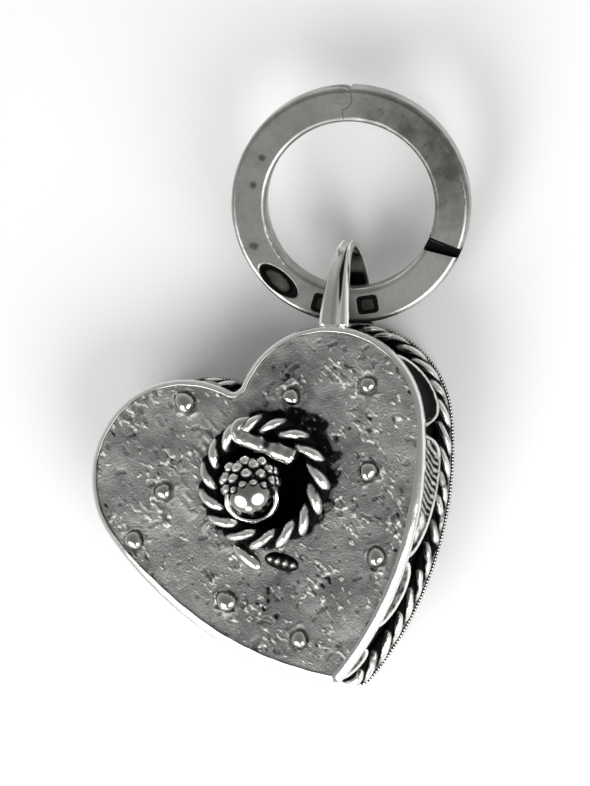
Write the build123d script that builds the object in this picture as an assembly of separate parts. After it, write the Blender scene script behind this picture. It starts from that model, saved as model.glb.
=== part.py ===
from build123d import *
import math
import os

# Heart outline, in millimetres
lobe_radius = 5.8
lobe_offset = 4.7  # each lobe's centre from the heart's axis
lobe_line = 1.9  # lobe centres above the well's axis
tip_drop = 14.6  # lobe centres down to the tip
flank_radius = 21.0
notch_radius = 0.6
tip_radius = 0.8

# Heart box, counted up from its back face
box_height = 6.0
back_sheet = 0.3
back_rim_width = 0.28
back_rim_outset = 0.2  # beyond the outline
bezel_width = 0.3
bezel_depth = 0.7
bezel_round = 0.2
front_sheet = 0.55
wall_sheet = 0.5
solder_gap = 0.02

# Twisted wire of the border and of the well
rope_radius = 0.52
rope_groove = 0.3
rope_strands = 3
rope_outset = 0.2  # wire's edge beyond the outline
border_strokes = 22  # strands that show on each half of the border
well_rope_radius = 0.6
well_rope_groove = 0.28
well_strands = 2
well_strokes = 15
twist_step = 30.0  # turn of the wire from one section to the next

# Scalloped gallery under the bezel: start along the outline from the notch, width, drop, and deepest place
# as a share of the width
scallop_spans = [
    (1.3, 4.4, 2.9, 0.5), (11.6, 4.8, 3.5, 0.75), (17.0, 7.4, 3.3, 0.16), (24.5, 4.4, 2.1, 0.45),
    (30.3, 2.4, 1.8, 0.4),
]
scallop_inset = 0.14
scallop_sheet = 0.3
scallop_lip = 0.24
scallop_lip_height = 0.1

# Granules on the front plate, from the well's axis
granule_radius = 0.45
granule_rise = 0.1  # centre above the plate
granule_places = [
    (-3.2, 6.1), (3.1, 4.2), (7.8, 3.3), (6.1, -1.5), (4.9, -6.4),
    (-1.2, -9.4), (-4.7, -5.8), (-8.9, -0.5), (-6.2, 1.6),
]

# Well, its bridge bar and the leaves beside it
well_radius = 2.75
well_wall = 0.4
well_floor = 2.0  # floor above the back face
well_rope_ring = 3.42
bar_angle = 51.0  # the bar's side of the well, from the X axis
bar_radius = 0.46
bar_offset = 2.05  # bar from the well's axis
bar_reach = 1.5  # free end, past the bar's middle
leaf_radius = 0.36
leaf_length = 2.1
leaf_places = [(-2.63, -3.74, 120.0), (-0.7, -4.74, 145.0)]  # and turn

# Bud that leans out of the well, placed by the middle of its cup's rim
bud_x = -0.99
bud_y = -0.89
bud_rise = 0.85  # above the plate
bud_lean = 38.0
bud_heading = 277.0
stem_radius = 0.35
cup_root = 0.55
cup_belly = 1.32
cup_rim = 1.6
cup_height = 2.6
cup_lip = 0.25
nut_seat = 0.35
nut_height = 1.3

# Bail: a tapered strap arched from the front edge to the back edge
bail_angle = 68.0  # its place round the right lobe
bail_sheet = 0.45
bail_foot_width = 1.85
bail_top_width = 0.75
bail_reach = 10.95  # top of the arch from the lobe's centre
bail_depth = 5.7  # over both legs
bail_sink = 0.4  # arch's widest place inside the lobe's edge

# Hanging ring, its gate and pin
ring_outside = 7.05
ring_inside = 5.0
ring_depth = 1.8
ring_round = 0.3
ring_heading = 64.9  # from the bail to the ring's centre
ring_tilt = 9.6  # far side lifted off the heart's plane
ring_roll = 12.0  # gate's side dropped
swing_reach = 7.12  # swing axis from the lobe's centre
hinge_turn = 97.0  # pin round the ring, from the swing axis direction
slit_turn = -19.0
slit_width = 0.16
notch_inner = 0.7  # nail notch beside the slit: width at the ring's inside and outside
notch_outer = 0.4
notch_depth = 0.5
pivot_inset = 0.65  # pin's axis inside the ring's outer edge
knuckle_radius = 0.62
knuckle_gap = 0.03
tongue_depth = 0.66
gate_opening = 45.0
pin_radius = 0.3
pin_fit = 0.01
pin_running = 0.03

# Sizes that follow from the ones above
rope_inset = rope_radius - rope_outset
rope_level = back_sheet + rope_radius + solder_gap
wall_inset = rope_inset + rope_radius + solder_gap
plate_bottom = box_height - bezel_depth
plate_top = plate_bottom + front_sheet
well_outside = well_radius + well_wall
well_rope_level = plate_top + well_rope_radius + solder_gap
well_mouth = well_rope_ring - well_rope_radius - solder_gap
swing_level = box_height / 2
ring_middle = (ring_outside + ring_inside) / 2
ring_width = ring_outside - ring_inside


def toward(degrees, length=1.0):
    turn = math.radians(degrees)
    return Vector(length * math.cos(turn), length * math.sin(turn))


# Centres and turning points of the outline's arcs
lobe_centre = Vector(lobe_offset, lobe_line)
notch_rise = math.sqrt((lobe_radius + notch_radius) ** 2 - lobe_offset**2)
notch_centre = Vector(0, lobe_line + notch_rise)
lobe_start = 180 - math.degrees(math.atan2(notch_rise, lobe_offset))
flank_reach = flank_radius - lobe_radius
tip_reach = math.hypot(lobe_offset, tip_drop)
tip_cosine = (tip_reach**2 + flank_reach**2 - flank_radius**2) / (2 * flank_reach * tip_reach)
flank_start = math.degrees(math.atan2(tip_drop, lobe_offset) - math.acos(tip_cosine))
flank_centre = lobe_centre - toward(flank_start, flank_reach)


# Right half of the outline at an inset: centre, radius, start and sweep of each arc from notch to tip
def half_arcs(inset):
    flank = flank_radius - inset
    tip_angle = -math.degrees(math.acos(-flank_centre.X / flank))
    return [
        (notch_centre, notch_radius + inset, -90, lobe_start - 90),
        (lobe_centre, lobe_radius - inset, lobe_start, flank_start - lobe_start),
        (flank_centre, flank, flank_start, tip_angle - flank_start),
    ]


# Point and heading after a distance along that half, carried on past the tip
def along(distance, inset):
    for centre, radius, start, sweep in half_arcs(inset):
        length = radius * math.radians(abs(sweep))
        if distance <= length:
            break
        distance -= length
    else:
        distance += length
    side = math.copysign(1, sweep)
    turn = start + side * math.degrees(distance / radius)
    return centre + toward(turn, radius), toward(turn + 90 * side)


def half_length(inset):
    return sum(radius * math.radians(abs(sweep)) for _, radius, _, sweep in half_arcs(inset))


def heart_plate(inset, bottom, top):
    right = [CenterArc(*arc) for arc in half_arcs(inset)]
    left = [mirror(edge, Plane.YZ) for edge in right]
    face = make_face(right + left)
    tip = face.vertices().sort_by(Axis.Y)[0]
    face = fillet(tip, max(tip_radius - inset, 0.2))
    return Pos(0, 0, bottom) * extrude(face, top - bottom)


def heart_frame(outer, inner, bottom, top):
    return heart_plate(outer, bottom, top) - heart_plate(inner, bottom, top)


# Section of a twisted wire: one corner out on each strand and one in each groove
def wire_section(strands, crest, groove):
    points = []
    for corner in range(2 * strands):
        points.append(toward(180 * corner / strands, groove if corner % 2 else crest))
    return Polygon(*points, align=None)


def steps_per_stroke(strands):
    return max(1, round(360 / strands / twist_step))


# Twisted wire, left-handed: the section turned a little further at every frame along its path
def twisted_wire(frames, section, step, first=0):
    turned = [frame * (Rot(0, 0, -step * (first + i)) * section) for i, frame in enumerate(frames)]
    return loft(turned, ruled=True)


# One half of the border, run past the tip and mitred on the heart's axis
def border_half(side):
    steps = steps_per_stroke(rope_strands)
    count = round(border_strokes) * steps
    length = half_length(rope_inset) + 2 * rope_radius
    frames = []
    for i in range(count + 1):
        point, heading = along(length * i / count, rope_inset)
        origin = (side * point.X, point.Y, rope_level)
        frames.append(Plane(origin, x_dir=(0, 0, 1), z_dir=(side * heading.X, heading.Y, 0)))
    section = wire_section(rope_strands, rope_radius, rope_groove)
    wire = twisted_wire(frames, section, 360 / rope_strands / steps)
    return split(wire, Plane.YZ, keep=Keep.TOP if side > 0 else Keep.BOTTOM)


def well_wire():
    steps = steps_per_stroke(well_strands)
    count = round(well_strokes) * steps
    frames = []
    for i in range(count + 1):
        turn = 360 * i / count
        origin = toward(turn, well_rope_ring) + Vector(0, 0, well_rope_level)
        frames.append(Plane(origin, x_dir=(0, 0, 1), z_dir=toward(turn + 90)))
    section = wire_section(well_strands, well_rope_radius, well_rope_groove)
    step = 360 / well_strands / steps
    half = count // 2
    return twisted_wire(frames[: half + 1], section, step) + twisted_wire(frames[half:], section, step, half)


# Outline of a petal: two quarter ellipses, and the same two above, that meet at its deepest place
def petal(before, after, drop):
    start = Ellipse(before, drop) & Pos(-before / 2, 0) * Rectangle(before, 2 * drop)
    end = Ellipse(after, drop) & Pos(after / 2, 0) * Rectangle(after, 2 * drop)
    return start + end


# Gallery: petals cut from a band under the bezel, each with a raised lip
def scallops(side):
    low = plate_bottom - max(drop for _, _, drop, _ in scallop_spans)
    inside = scallop_inset + scallop_sheet
    band = heart_frame(scallop_inset, inside, low, plate_bottom)
    lip_band = heart_frame(scallop_inset - scallop_lip_height, inside, low, plate_bottom)
    shells = []
    for start, width, drop, peak in scallop_spans:
        before = peak * width
        after = width - before
        point, heading = along(start + before, scallop_inset)
        origin = (side * point.X, point.Y, plate_bottom)
        plane = Plane(origin, x_dir=(side * heading.X, heading.Y, 0), z_dir=(-side * heading.Y, heading.X, 0))
        outer = plane * extrude(petal(before, after, drop), 2, both=True)
        inner = petal(before - scallop_lip, after - scallop_lip, drop - scallop_lip)
        inner = plane * extrude(inner, 2, both=True)
        shells.append((band & inner) + (lip_band & (outer - inner)))
    return shells


# Solids of one node kept apart
def group(solids):
    return Compound(children=[solid for shape in solids for solid in shape.solids()])


# Heart box
back_rim_inner = back_rim_width - back_rim_outset
back_plate = heart_plate(back_rim_inner + solder_gap, 0, back_sheet)
back_rim = heart_frame(-back_rim_outset, back_rim_inner, 0, back_sheet)
side_wall = heart_frame(wall_inset, wall_inset + wall_sheet, back_sheet, plate_bottom)
rope_border_left = border_half(-1)
rope_border_right = border_half(1)
scallop_gallery = group(scallops(1) + scallops(-1))

bezel_inner = heart_plate(bezel_width, plate_bottom, box_height)
front_bezel = heart_plate(0, plate_bottom, box_height)
front_bezel = fillet(front_bezel.faces().sort_by(Axis.Z)[-1].edges(), bezel_round) - bezel_inner

front_plate = heart_plate(bezel_width + solder_gap, plate_bottom, plate_top)
front_plate -= Pos(0, 0, plate_bottom) * Cylinder(well_outside + solder_gap, 3 * front_sheet)
granules = [Pos(x, y, plate_top + granule_rise) * Sphere(granule_radius) for x, y in granule_places]
for x, y in granule_places:
    front_plate -= Pos(x, y, plate_top + granule_rise) * Sphere(granule_radius + solder_gap)
front_granules = group(granules)

# Well with its wire, leaves and bar
cup_bottom = well_floor - well_wall
well_cup = Cylinder(well_outside, plate_top - cup_bottom, align=(Align.CENTER, Align.CENTER, Align.MIN))
well_cup -= Pos(0, 0, well_wall) * Cylinder(
    well_radius, plate_top, align=(Align.CENTER, Align.CENTER, Align.MIN)
)
well_cup = Pos(0, 0, cup_bottom) * well_cup
well_rope = well_wire()

leaf = Rot(90, 0, 0) * Cylinder(leaf_radius, leaf_length - 2 * leaf_radius)
for end in (-1, 1):
    leaf += Pos(0, end * (leaf_length / 2 - leaf_radius), 0) * Sphere(leaf_radius)
leaf = split(leaf, Plane.XY, keep=Keep.TOP)
leaves = [Pos(x, y, plate_top) * Rot(0, 0, turn - 90) * leaf for x, y, turn in leaf_places]
well_leaves = group(leaves)

bar = Rot(90, 0, 0) * Cylinder(bar_radius, well_rope_ring + bar_reach)
bar = Pos(bar_offset, (well_rope_ring - bar_reach) / 2, 0) * bar
bar &= Cylinder(well_mouth, 2 * bar_offset)
well_bar = Pos(0, 0, well_rope_level) * Rot(0, 0, bar_angle) * bar

# Bud: cup and nut turned about a leaning axis, on an upright stem
bud_axis = toward(bud_heading, math.sin(math.radians(bud_lean)))
bud_axis += Vector(0, 0, math.cos(math.radians(bud_lean)))
rim_middle = Vector(bud_x, bud_y, plate_top + bud_rise)
bud_plane = Plane(rim_middle, x_dir=toward(bud_heading + 90), z_dir=bud_axis)

nut_radius = cup_rim - cup_lip
cup_side = ThreePointArc((cup_root, -cup_height), (cup_belly, -0.6 * cup_height), (cup_rim, 0))
cup_section = make_face([
    cup_side,
    Polyline(
        (cup_rim, 0), (nut_radius, 0), (nut_radius, -nut_seat),
        (0, -nut_seat), (0, -cup_height), (cup_root, -cup_height),
    ),
])
bud_cup = bud_plane * revolve(Plane.XZ * cup_section, Axis.Z)

nut_side = nut_radius - solder_gap
dome_height = nut_height - nut_seat
dome_radius = (nut_side**2 + dome_height**2) / (2 * dome_height)
dome = Pos(0, 0, dome_height - dome_radius) * Sphere(dome_radius)
nut = split(dome, Plane.XY, keep=Keep.TOP)
nut += Pos(0, 0, -nut_seat / 2) * Cylinder(nut_side, nut_seat)
bud_nut = bud_plane * nut

root_middle = rim_middle - bud_axis * cup_height
stem = Pos(root_middle.X, root_middle.Y, well_floor) * Cylinder(
    stem_radius, rim_middle.Z - well_floor, align=(Align.CENTER, Align.CENTER, Align.MIN)
)
bud_stem = split(stem, Plane(root_middle, z_dir=bud_axis), keep=Keep.BOTTOM)

# Bail: the arch seen from the side, cut to the taper seen from the front
bail_way = toward(bail_angle)
bail_side = toward(bail_angle - 90)
bail_plane = Plane((lobe_centre.X, lobe_centre.Y, box_height / 2), x_dir=bail_way, z_dir=bail_side)
bail_root = lobe_radius - bail_sink
arch_outer = Ellipse(bail_reach - bail_root, bail_depth / 2)
arch_inner = Ellipse(bail_reach - bail_root - bail_sheet, bail_depth / 2 - bail_sheet)
arch = Pos(bail_root, 0) * (arch_outer - arch_inner)
arch = bail_plane * extrude(arch, bail_foot_width, both=True)
taper = Polygon(
    (bail_root, -bail_foot_width / 2), (bail_reach, -bail_top_width / 2),
    (bail_reach, bail_top_width / 2), (bail_root, bail_foot_width / 2), align=None,
)
taper_plane = Plane((lobe_centre.X, lobe_centre.Y, 0), x_dir=bail_way, z_dir=(0, 0, 1))
bail = (arch & taper_plane * extrude(taper, box_height)) - heart_plate(0, 0, box_height)
wire_room = max(rope_outset, back_rim_outset) + solder_gap
bail -= heart_plate(-wire_room, 0, rope_level + rope_radius)

# Hanging ring, drawn about its own centre and cut in two
ring_section = Pos(ring_middle, 0) * RectangleRounded(ring_width, ring_depth, ring_round)
ring_blank = revolve(Plane.XZ * ring_section, Axis.Z)
pivot = toward(hinge_turn, ring_outside - pivot_inset)


def wedge(start, stop, radius):
    sides = [Line((0, 0), toward(start, radius)), Line(toward(stop, radius), (0, 0))]
    face = make_face([CenterArc((0, 0), radius, start, stop - start)] + sides)
    return extrude(face, ring_depth, both=True)


def pin_disc(radius, depth, level=0.0):
    return Pos(pivot.X, pivot.Y, level) * Cylinder(radius, depth)


slot_depth = tongue_depth + 2 * knuckle_gap
half_slit = math.degrees(slit_width / 2 / ring_middle)
seam = math.degrees(knuckle_gap / ring_middle)
clear_radius = knuckle_radius + knuckle_gap

ring_body = ring_blank & wedge(hinge_turn, slit_turn + 360 - half_slit, 2 * ring_outside)
ring_body += ring_blank & pin_disc(knuckle_radius, ring_depth)
ring_body -= pin_disc(clear_radius, slot_depth)
ring_body -= pin_disc(pin_radius + pin_fit, 2 * ring_depth)

ring_gate = ring_blank & wedge(slit_turn + half_slit, hinge_turn - seam, 2 * ring_outside)
for level in (-1, 1):
    ring_gate -= pin_disc(clear_radius, ring_depth, level * (tongue_depth + ring_depth) / 2)
opening_room = wedge(hinge_turn - gate_opening, hinge_turn + gate_opening, ring_width)
ring_gate -= Pos(pivot.X, pivot.Y, 0) * opening_room
ring_gate += ring_blank & pin_disc(knuckle_radius, tongue_depth)
ring_gate -= pin_disc(pin_radius + pin_running, 2 * ring_depth)

# Nail notch, drawn half the ring's width past it on either side
notch_taper = (notch_inner - notch_outer) / 2
nail_notch = Polygon(
    (0, 0), (0, -notch_inner - notch_taper),
    (2 * ring_width, notch_taper - notch_outer), (2 * ring_width, 0), align=None,
)
nail_notch = Pos(ring_inside - ring_width / 2, -slit_width / 2) * nail_notch
nail_notch = Rot(0, 0, slit_turn) * extrude(nail_notch, ring_depth)
ring_body -= Pos(0, 0, ring_depth / 2 - notch_depth) * nail_notch

gate_pin = pin_disc(pin_radius, ring_depth)

# The ring's place: its near side in the bail, its far side lifted and its gate's side dropped
swing_point = lobe_centre + toward(bail_angle, swing_reach) + Vector(0, 0, swing_level)
lift = math.radians(ring_tilt)
ring_normal = toward(ring_heading + 180, math.sin(lift)) + Vector(0, 0, math.cos(lift))
ring_plane = Plane(swing_point, x_dir=toward(ring_heading - 90), z_dir=ring_normal)
ring_place = ring_plane * Rot(0, ring_roll, 0) * Pos(0, ring_middle, 0)
ring_body = ring_place * ring_body
ring_gate = ring_place * ring_gate
gate_pin = ring_place * gate_pin

# One file for each named piece
nodes = {
    "back_plate": back_plate,
    "back_rim": back_rim,
    "side_wall": side_wall,
    "rope_border_left": rope_border_left,
    "rope_border_right": rope_border_right,
    "scallop_gallery": scallop_gallery,
    "front_bezel": front_bezel,
    "front_plate": front_plate,
    "front_granules": front_granules,
    "well_cup": well_cup,
    "well_rope": well_rope,
    "well_leaves": well_leaves,
    "well_bar": well_bar,
    "bud_stem": bud_stem,
    "bud_cup": bud_cup,
    "bud_nut": bud_nut,
    "bail": bail,
    "ring_body": ring_body,
    "ring_gate": ring_gate,
    "gate_pin": gate_pin,
}
os.makedirs("parts", exist_ok=True)
for name, shape in nodes.items():
    export_step(shape, f"parts/{name}.step")
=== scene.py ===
import math

import bpy
import numpy as np
from mathutils import Matrix


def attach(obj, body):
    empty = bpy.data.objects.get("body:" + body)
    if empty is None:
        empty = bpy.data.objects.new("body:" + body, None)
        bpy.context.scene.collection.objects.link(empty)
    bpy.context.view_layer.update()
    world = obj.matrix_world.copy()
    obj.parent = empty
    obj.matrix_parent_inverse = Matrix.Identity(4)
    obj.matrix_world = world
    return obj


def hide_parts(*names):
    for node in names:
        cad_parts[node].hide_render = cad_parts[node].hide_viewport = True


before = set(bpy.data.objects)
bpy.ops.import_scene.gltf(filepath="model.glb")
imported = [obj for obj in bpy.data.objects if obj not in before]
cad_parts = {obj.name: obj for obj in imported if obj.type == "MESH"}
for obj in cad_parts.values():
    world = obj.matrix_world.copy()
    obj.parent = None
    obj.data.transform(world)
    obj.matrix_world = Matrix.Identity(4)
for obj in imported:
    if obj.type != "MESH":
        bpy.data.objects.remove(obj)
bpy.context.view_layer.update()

mm = 0.001
fullTurn = 2 * math.pi
upright = np.array([0, 0, 1.0])
scene = bpy.context.scene
print("frame loaded:", len(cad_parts), "nodes")


# Linear colour of an sRGB hex code: the sRGB curve undone, a straight line near black and a power above it
def hexColor(code):
    srgb = np.array([int(code[i:i + 2], 16) for i in (1, 3, 5)]) / 255
    linear = np.where(srgb <= 0.04045, srgb / 12.92, ((srgb + 0.055) / 1.055) ** 2.4)
    return (*linear.tolist(), 1.0)


# One node with its settings, its input values and its links from outputs or from other nodes' first outputs
def addNode(tree, kind, settings=None, values=None, links=None):
    node = tree.nodes.new("ShaderNode" + kind)
    for key, value in (settings or {}).items():
        setattr(node, key, value)
    for key, value in (values or {}).items():
        node.inputs[key].default_value = value
    for key, source in (links or {}).items():
        output = source.outputs[0] if isinstance(source, bpy.types.Node) else source
        tree.links.new(output, node.inputs[key])
    return node


# A new object in the scene
def addObject(name, data):
    item = bpy.data.objects.new(name, data)
    scene.collection.objects.link(item)
    return item


# Vectors divided by their own lengths
def unit(vectors):
    return vectors / np.linalg.norm(vectors, axis=-1, keepdims=True)


# Level direction at an angle: its cosine along x and its sine along y
def heading(degrees):
    return np.array([math.cos(math.radians(degrees)), math.sin(math.radians(degrees)), 0.0])


# Angles once round, evenly spaced, the last one short of the first
def turnsRound(count):
    return np.linspace(0, fullTurn, count, endpoint=False)


# Flat points lifted to a level, or each to its own
def atLevel(flat, level):
    return np.concatenate([flat, np.broadcast_to(level, flat.shape[:-1])[..., None]], -1)


# Ease from 0 to 1 between two values: three times the square of the share less twice its cube
def smoothStep(low, high, value):
    share = np.clip((value - low) / (high - low), 0, 1)
    return share * share * (3 - 2 * share)


# Bell of height one: e to the power of minus the square of the distance over the reach
def bell(distance, reach):
    return np.exp(-((distance / reach) ** 2))


# Round hump of height one: falls off as a bell with the distance from its middle
def hump(x, y, middleX, middleY, reach):
    return np.exp(-((x - middleX) ** 2 + (y - middleY) ** 2) / reach**2)


# Smooth noise: random heights on a square lattice, eased between the four corners round each point
def latticeNoise(x, y, cell, seed, lattice=128):
    heights = np.random.default_rng(seed).uniform(-1, 1, (lattice, lattice))
    column = np.floor(x / cell).astype(int)
    row = np.floor(y / cell).astype(int)
    across = smoothStep(0, 1, x / cell - column)
    up = smoothStep(0, 1, y / cell - row)

    def corner(right, above):
        return heights[(column + right) % lattice, (row + above) % lattice]

    low = corner(0, 0) * (1 - across) + corner(1, 0) * across
    high = corner(0, 1) * (1 - across) + corner(1, 1) * across
    return low * (1 - up) + high * up


# Slow waver of hand work: half the sum of three sine waves that don't share a rhythm
def handWaver(t, seed):
    phase = np.random.default_rng(seed).uniform(0, fullTurn, 3)
    return sum(np.sin(fullTurn * turns * t + p) for turns, p in zip((7, 19, 43), phase)) / 2


# Tube: a ring of points at a radius round each point of a path. The cosine of the turn goes to the side,
# square to the path and the crest, and its sine toward the crest.
def tubeRound(path, crest, radius, around, closed=True):
    tangent = np.roll(path, -1, 0) - np.roll(path, 1, 0) if closed else np.gradient(path, axis=0)
    side = unit(np.cross(tangent, crest))
    up = unit(np.cross(side, tangent))
    turn = turnsRound(around)[None, :, None]
    spoke = np.cos(turn) * side[:, None] + np.sin(turn) * up[:, None]
    return path[:, None] + np.asarray(radius)[..., None] * spoke


# Ball: a grid of turns and tilts, its radius swelling a little by seeded waves, its height squashed
def lumpyBall(centre, radius, lump, seed, rings=16, around=28, squash=1.0):
    tilt = np.linspace(0, math.pi, rings + 2)[1:-1, None]
    turn = turnsRound(around)[None]
    phase = np.random.default_rng(seed).uniform(0, 6, 2)
    swell = np.sin(2 * turn + phase[0]) * np.sin(tilt) + np.sin(3 * turn + phase[1]) * np.sin(tilt) ** 2
    r = radius * (1 + lump * swell)
    level = r * np.sin(tilt)
    return centre + np.stack([level * np.cos(turn), level * np.sin(turn), squash * r * np.cos(tilt)], -1)


# A patch that meets itself along its rows and along its columns
def closedBand(points, wear):
    return {"points": points, "wear": wear, "closeRows": True, "closeColumns": True}


# A patch that meets itself round its columns, its two ends shut
def cappedRod(points, wear):
    return {"points": points, "wear": wear, "closeColumns": True, "capped": True}


# One object from grids of points in millimetres: faces join neighbouring points, and go round where closed. A
# capped patch gets one point in the middle of its first and last row.
def addPiece(name, patches, body, material, nodes, thickness=0.0):
    points, quads, wear = [], [], []
    base = 0
    for patch in patches:
        grid = patch["points"]
        shade = np.broadcast_to(patch["wear"], grid.shape[:2])
        if patch.get("capped"):
            ends = [0 * end + end.mean(1, keepdims=True) for end in (grid[:1], grid[-1:])]
            grid = np.concatenate([ends[0], grid, ends[1]])
            shade = np.concatenate([shade[:1], shade, shade[-1:]])
        rows, columns = grid.shape[:2]
        row = np.arange(rows if patch.get("closeRows") else rows - 1)
        column = np.arange(columns if patch.get("closeColumns") else columns - 1)
        row, column = (index.ravel() for index in np.meshgrid(row, column, indexing="ij"))
        nextRow, nextColumn = (row + 1) % rows, (column + 1) % columns
        faces = np.stack([row * columns + column, nextRow * columns + column,
                          nextRow * columns + nextColumn, row * columns + nextColumn], -1)
        flat = grid.reshape(-1, 3)
        a, b, c, d = (flat[faces[:, k]] for k in range(4))
        if "facing" in patch:  # an open sheet is turned to face the way it is told
            inside = (np.cross(c - a, d - b) * patch["facing"][:-1, :-1].reshape(-1, 3)).sum() < 0
        else:  # a closed patch with a negative volume is turned inside out
            inside = (np.cross(a, b) * c).sum() + (np.cross(a, c) * d).sum() < 0
        quads.append((faces[:, ::-1] if inside else faces) + base)
        points.append(flat)
        wear.append(shade.ravel())
        base += len(flat)
    points, quads = np.concatenate(points) * mm, np.concatenate(quads)
    mesh = bpy.data.meshes.new(name)
    mesh.vertices.add(len(points))
    mesh.vertices.foreach_set("co", points.astype(np.float32).ravel())
    mesh.loops.add(quads.size)
    mesh.loops.foreach_set("vertex_index", quads.astype(np.int32).ravel())
    mesh.polygons.add(len(quads))
    mesh.polygons.foreach_set("loop_start", np.arange(0, quads.size, 4, dtype=np.int32))
    mesh.polygons.foreach_set("use_smooth", np.ones(len(quads), bool))
    rubbed = mesh.attributes.new("wear", "FLOAT", "POINT")
    rubbed.data.foreach_set("value", np.concatenate(wear).astype(np.float32))
    mesh.update(calc_edges=True)
    mesh.materials.append(material)
    piece = addObject(name, mesh)
    if thickness:
        sheet = piece.modifiers.new("sheet", "SOLIDIFY")
        sheet.thickness = thickness * mm
        sheet.offset = -1
    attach(piece, body)
    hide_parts(*nodes)


# Sizes of the solids that the looks follow, in millimetres and degrees
ring = {"outside": 7.05, "inside": 5.0, "heading": 64.9, "tilt": 9.6, "roll": 12.0, "bailAngle": 68.0,
        "swingReach": 7.12, "swingLevel": 3.0, "slitTurn": -19.0}
heart = {"lobeRadius": 5.8, "lobeOffset": 4.7, "lobeLine": 1.9, "tipDrop": 14.6,
         "flankRadius": 21.0, "notchRadius": 0.6, "tipRadius": 0.8}
lobeCentre = np.array([heart["lobeOffset"], heart["lobeLine"]])

# The ring's own axes at rest: across the bail, away from it and out of its face, and its centre
ringLift, ringRoll = math.radians(ring["tilt"]), math.radians(ring["roll"])
swingAxis = heading(ring["heading"] - 90)
ringAway = math.cos(ringLift) * heading(ring["heading"]) + math.sin(ringLift) * upright
ringLevel = np.cross(swingAxis, ringAway)
ringAcross = math.cos(ringRoll) * swingAxis - math.sin(ringRoll) * ringLevel
ringNormal = math.cos(ringRoll) * ringLevel + math.sin(ringRoll) * swingAxis
ringMiddle = (ring["outside"] + ring["inside"]) / 2
ringCentre = np.array([*lobeCentre, ring["swingLevel"]]) + ring["swingReach"] * heading(ring["bailAngle"])
ringCentre = ringCentre + ringMiddle * ringAway


# A mark on the ring, in the ring's own axes: where the places along and across it, each to a power, add up to
# less than about one, the metal is darker, less so on the mark's floor, and sunk
def addMark(tree, place, mark, rubbed, relief):
    at = math.radians(mark["at"])
    outward = math.cos(at) * ringAcross + math.sin(at) * ringAway
    axes = [ringAcross, ringAway, ringNormal]
    if mark["onWall"]:
        axes = [np.cross(ringNormal, outward), ringNormal, outward]
    turn = Matrix(np.stack(axes, 1).tolist()) @ Matrix.Rotation(math.radians(mark["turn"]), 3, "Z")
    middle = ringCentre + mark["reach"] * outward
    local = addNode(tree, "Mapping", {"vector_type": "TEXTURE"}, {
        "Location": (middle * mm).tolist(), "Rotation": turn.to_euler("XYZ"),
        "Scale": (mark["length"] / 2 * mm, mark["width"] / 2 * mm, mm)}, {"Vector": place})
    level = addNode(tree, "SeparateXYZ", links={"Vector": local})
    sides = []
    for axis in ("X", "Y"):
        size = addNode(tree, "Math", {"operation": "ABSOLUTE"}, links={0: level.outputs[axis]})
        sides.append(addNode(tree, "Math", {"operation": "POWER"}, {1: mark["squareness"]}, {0: size}))
    edge = addNode(tree, "Math", {"operation": "ADD"}, links={0: sides[0], 1: sides[1]})
    inMark = addNode(tree, "MapRange", {"interpolation_type": "SMOOTHSTEP"}, {
        "From Min": mark["outer"], "From Max": mark["full"]}, {"Value": edge})
    darkness = addNode(tree, "MapRange", {"interpolation_type": "SMOOTHSTEP"}, {
        "From Min": mark["floorFrom"], "From Max": 0.0, "To Min": mark["darkening"],
        "To Max": mark["darkening"] - mark["paleFloor"]}, {"Value": edge})
    ofLevel = addNode(tree, "Math", {"operation": "COMPARE"}, {
        1: mark["level"], 2: mark["levelReach"]}, {0: level.outputs["Z"]})
    here = addNode(tree, "Math", {"operation": "MULTIPLY"}, links={0: inMark, 1: ofLevel})
    # darkening of the mark: oxide in the punches and spots, painted shade in the slit, painted reflection on
    # the face's two sides
    soot = addNode(tree, "Math", {"operation": "MULTIPLY"}, links={0: here, 1: darkness})
    rubbed = addNode(tree, "Math", {"operation": "SUBTRACT"}, links={0: rubbed, 1: soot})
    relief = addNode(tree, "Bump", {"invert": True}, {
        "Strength": 1.0, "Distance": mark["sink"] * mm}, {"Height": here, "Normal": relief})
    return rubbed, relief
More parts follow.
